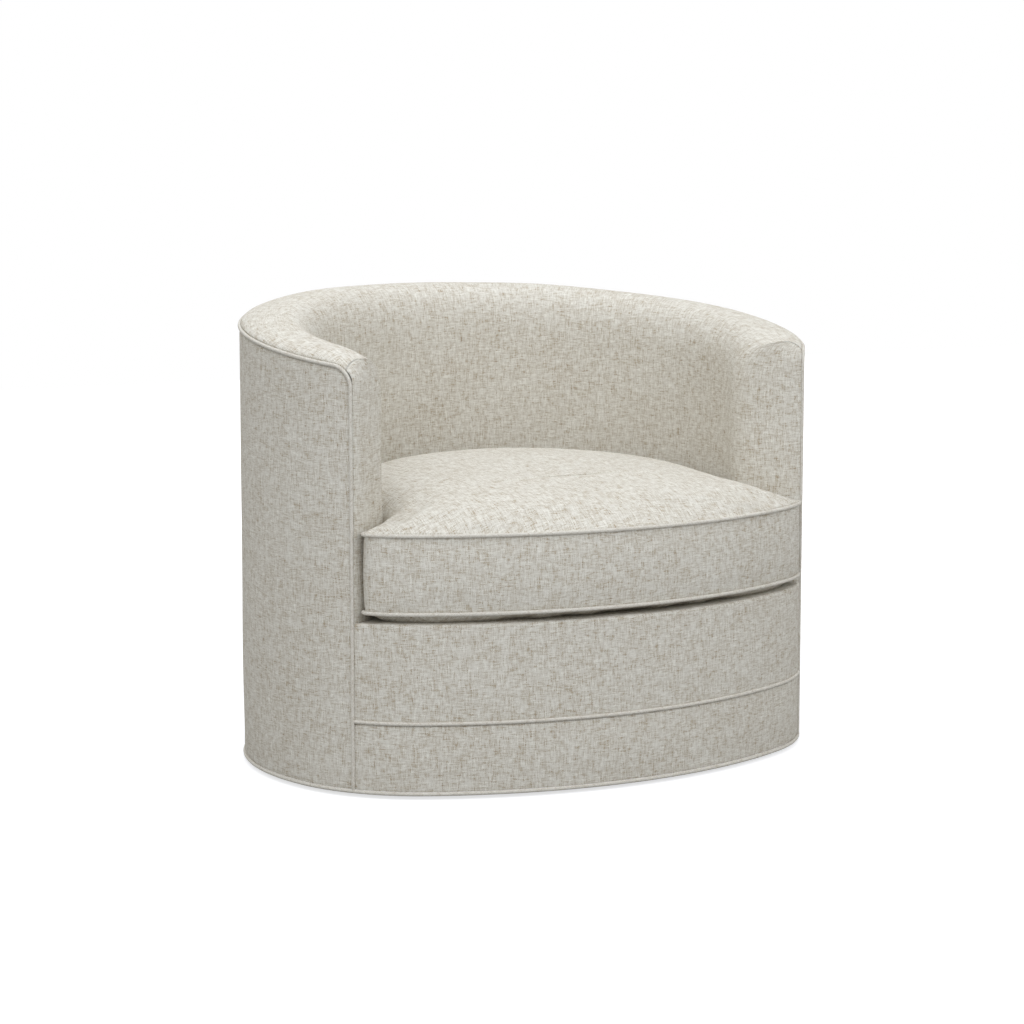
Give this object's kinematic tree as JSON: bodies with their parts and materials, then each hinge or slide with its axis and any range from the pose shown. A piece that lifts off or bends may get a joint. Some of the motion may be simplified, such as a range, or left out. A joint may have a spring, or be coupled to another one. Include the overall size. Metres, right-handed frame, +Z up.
{
  "type": "swivel barrel chair",
  "caption": "Low upholstered barrel chair with a rounded padded wall, a loose welted T cushion and a hidden turntable base that lets it swivel.",
  "frame": {"origin": "on the floor on the swivel axis, which is the middle of the plan", "axes": "+Z up, the chair faces -Y, +X to the sitter's left seen from behind the chair, so to the right of a viewer who faces the front"},
  "size_m": [0.9654, 0.7999, 0.761],
  "materials": {
    "linen_fabric": "matte",
    "welt_fabric": "matte",
    "deck_fabric": "matte",
    "zip_fabric": "matte",
    "foam": "matte",
    "felt": "matte",
    "webbing": "matte",
    "dust_cloth": "matte",
    "plywood": "matte",
    "hardwood": "matte",
    "fibreboard": "matte",
    "steel": "satin",
    "ball_steel": "polished",
    "zip_metal": "satin",
    "glide_plastic": "matte"
  },
  "bodies": {
    "base": {"base_disc": "plywood", "floor_glides": "glide_plastic", "glide_screws": "steel", "lower_swivel_plate": "steel", "lower_plate_screws": "steel", "king_bolt": "steel", "king_washer": "steel", "king_nut": "steel"},
    "race": {"ball_cage": "steel", "bearing_balls": "ball_steel"},
    "chair": {"upper_swivel_plate": "steel", "upper_plate_screws": "steel", "swivel_joists": "plywood", "bottom_ring": "plywood", "lower_posts": "hardwood", "seat_ring": "plywood", "upper_posts": "hardwood", "top_rail": "plywood", "outside_board": "fibreboard", "front_board": "fibreboard", "seat_springs": "steel", "spring_clips": "steel", "spring_felt": "felt", "deck_pad": "foam", "deck_cover": "deck_fabric", "back_webbing": "webbing", "back_pad": "foam", "roll_pad": "foam", "inside_cover": "linen_fabric", "left_arm_pad": "foam", "right_arm_pad": "foam", "left_arm_facing": "linen_fabric", "right_arm_facing": "linen_fabric", "outside_cover": "linen_fabric", "front_panel": "linen_fabric", "front_band": "linen_fabric", "top_welt": "welt_fabric", "front_welt": "welt_fabric", "base_welt": "welt_fabric", "dust_cover": "dust_cloth"},
    "cushion": {"cushion_core": "foam", "cushion_cover": "linen_fabric", "cushion_upper_welt": "welt_fabric", "cushion_lower_welt": "welt_fabric", "zip_tape": "zip_fabric"},
    "zip": {"zip_slider": "zip_metal"}
  },
  "joints": [
    {"name": "seat_swivel", "type": "hinge", "parent": "base", "child": "chair", "pos_m": [0, 0, 0], "axis": [0, 0, 1], "continuous": true},
    {"name": "race_turn", "type": "hinge", "parent": "base", "child": "race", "pos_m": [0, 0, 0], "axis": [0, 0, 1], "continuous": true},
    {"name": "cushion_lift", "type": "slide", "parent": "chair", "child": "cushion", "axis": [0, 0, 1], "range_m": [0, 0.5]},
    {"name": "zip_slide", "type": "hinge", "parent": "cushion", "child": "zip", "pos_m": [0, -0.09467, 0], "axis": [0, 0, 1], "range_deg": [0, 80]}
  ],
  "couplings": [
    {"joint": "race_turn", "follows": "seat_swivel", "ratio": 0.5}
  ]
}
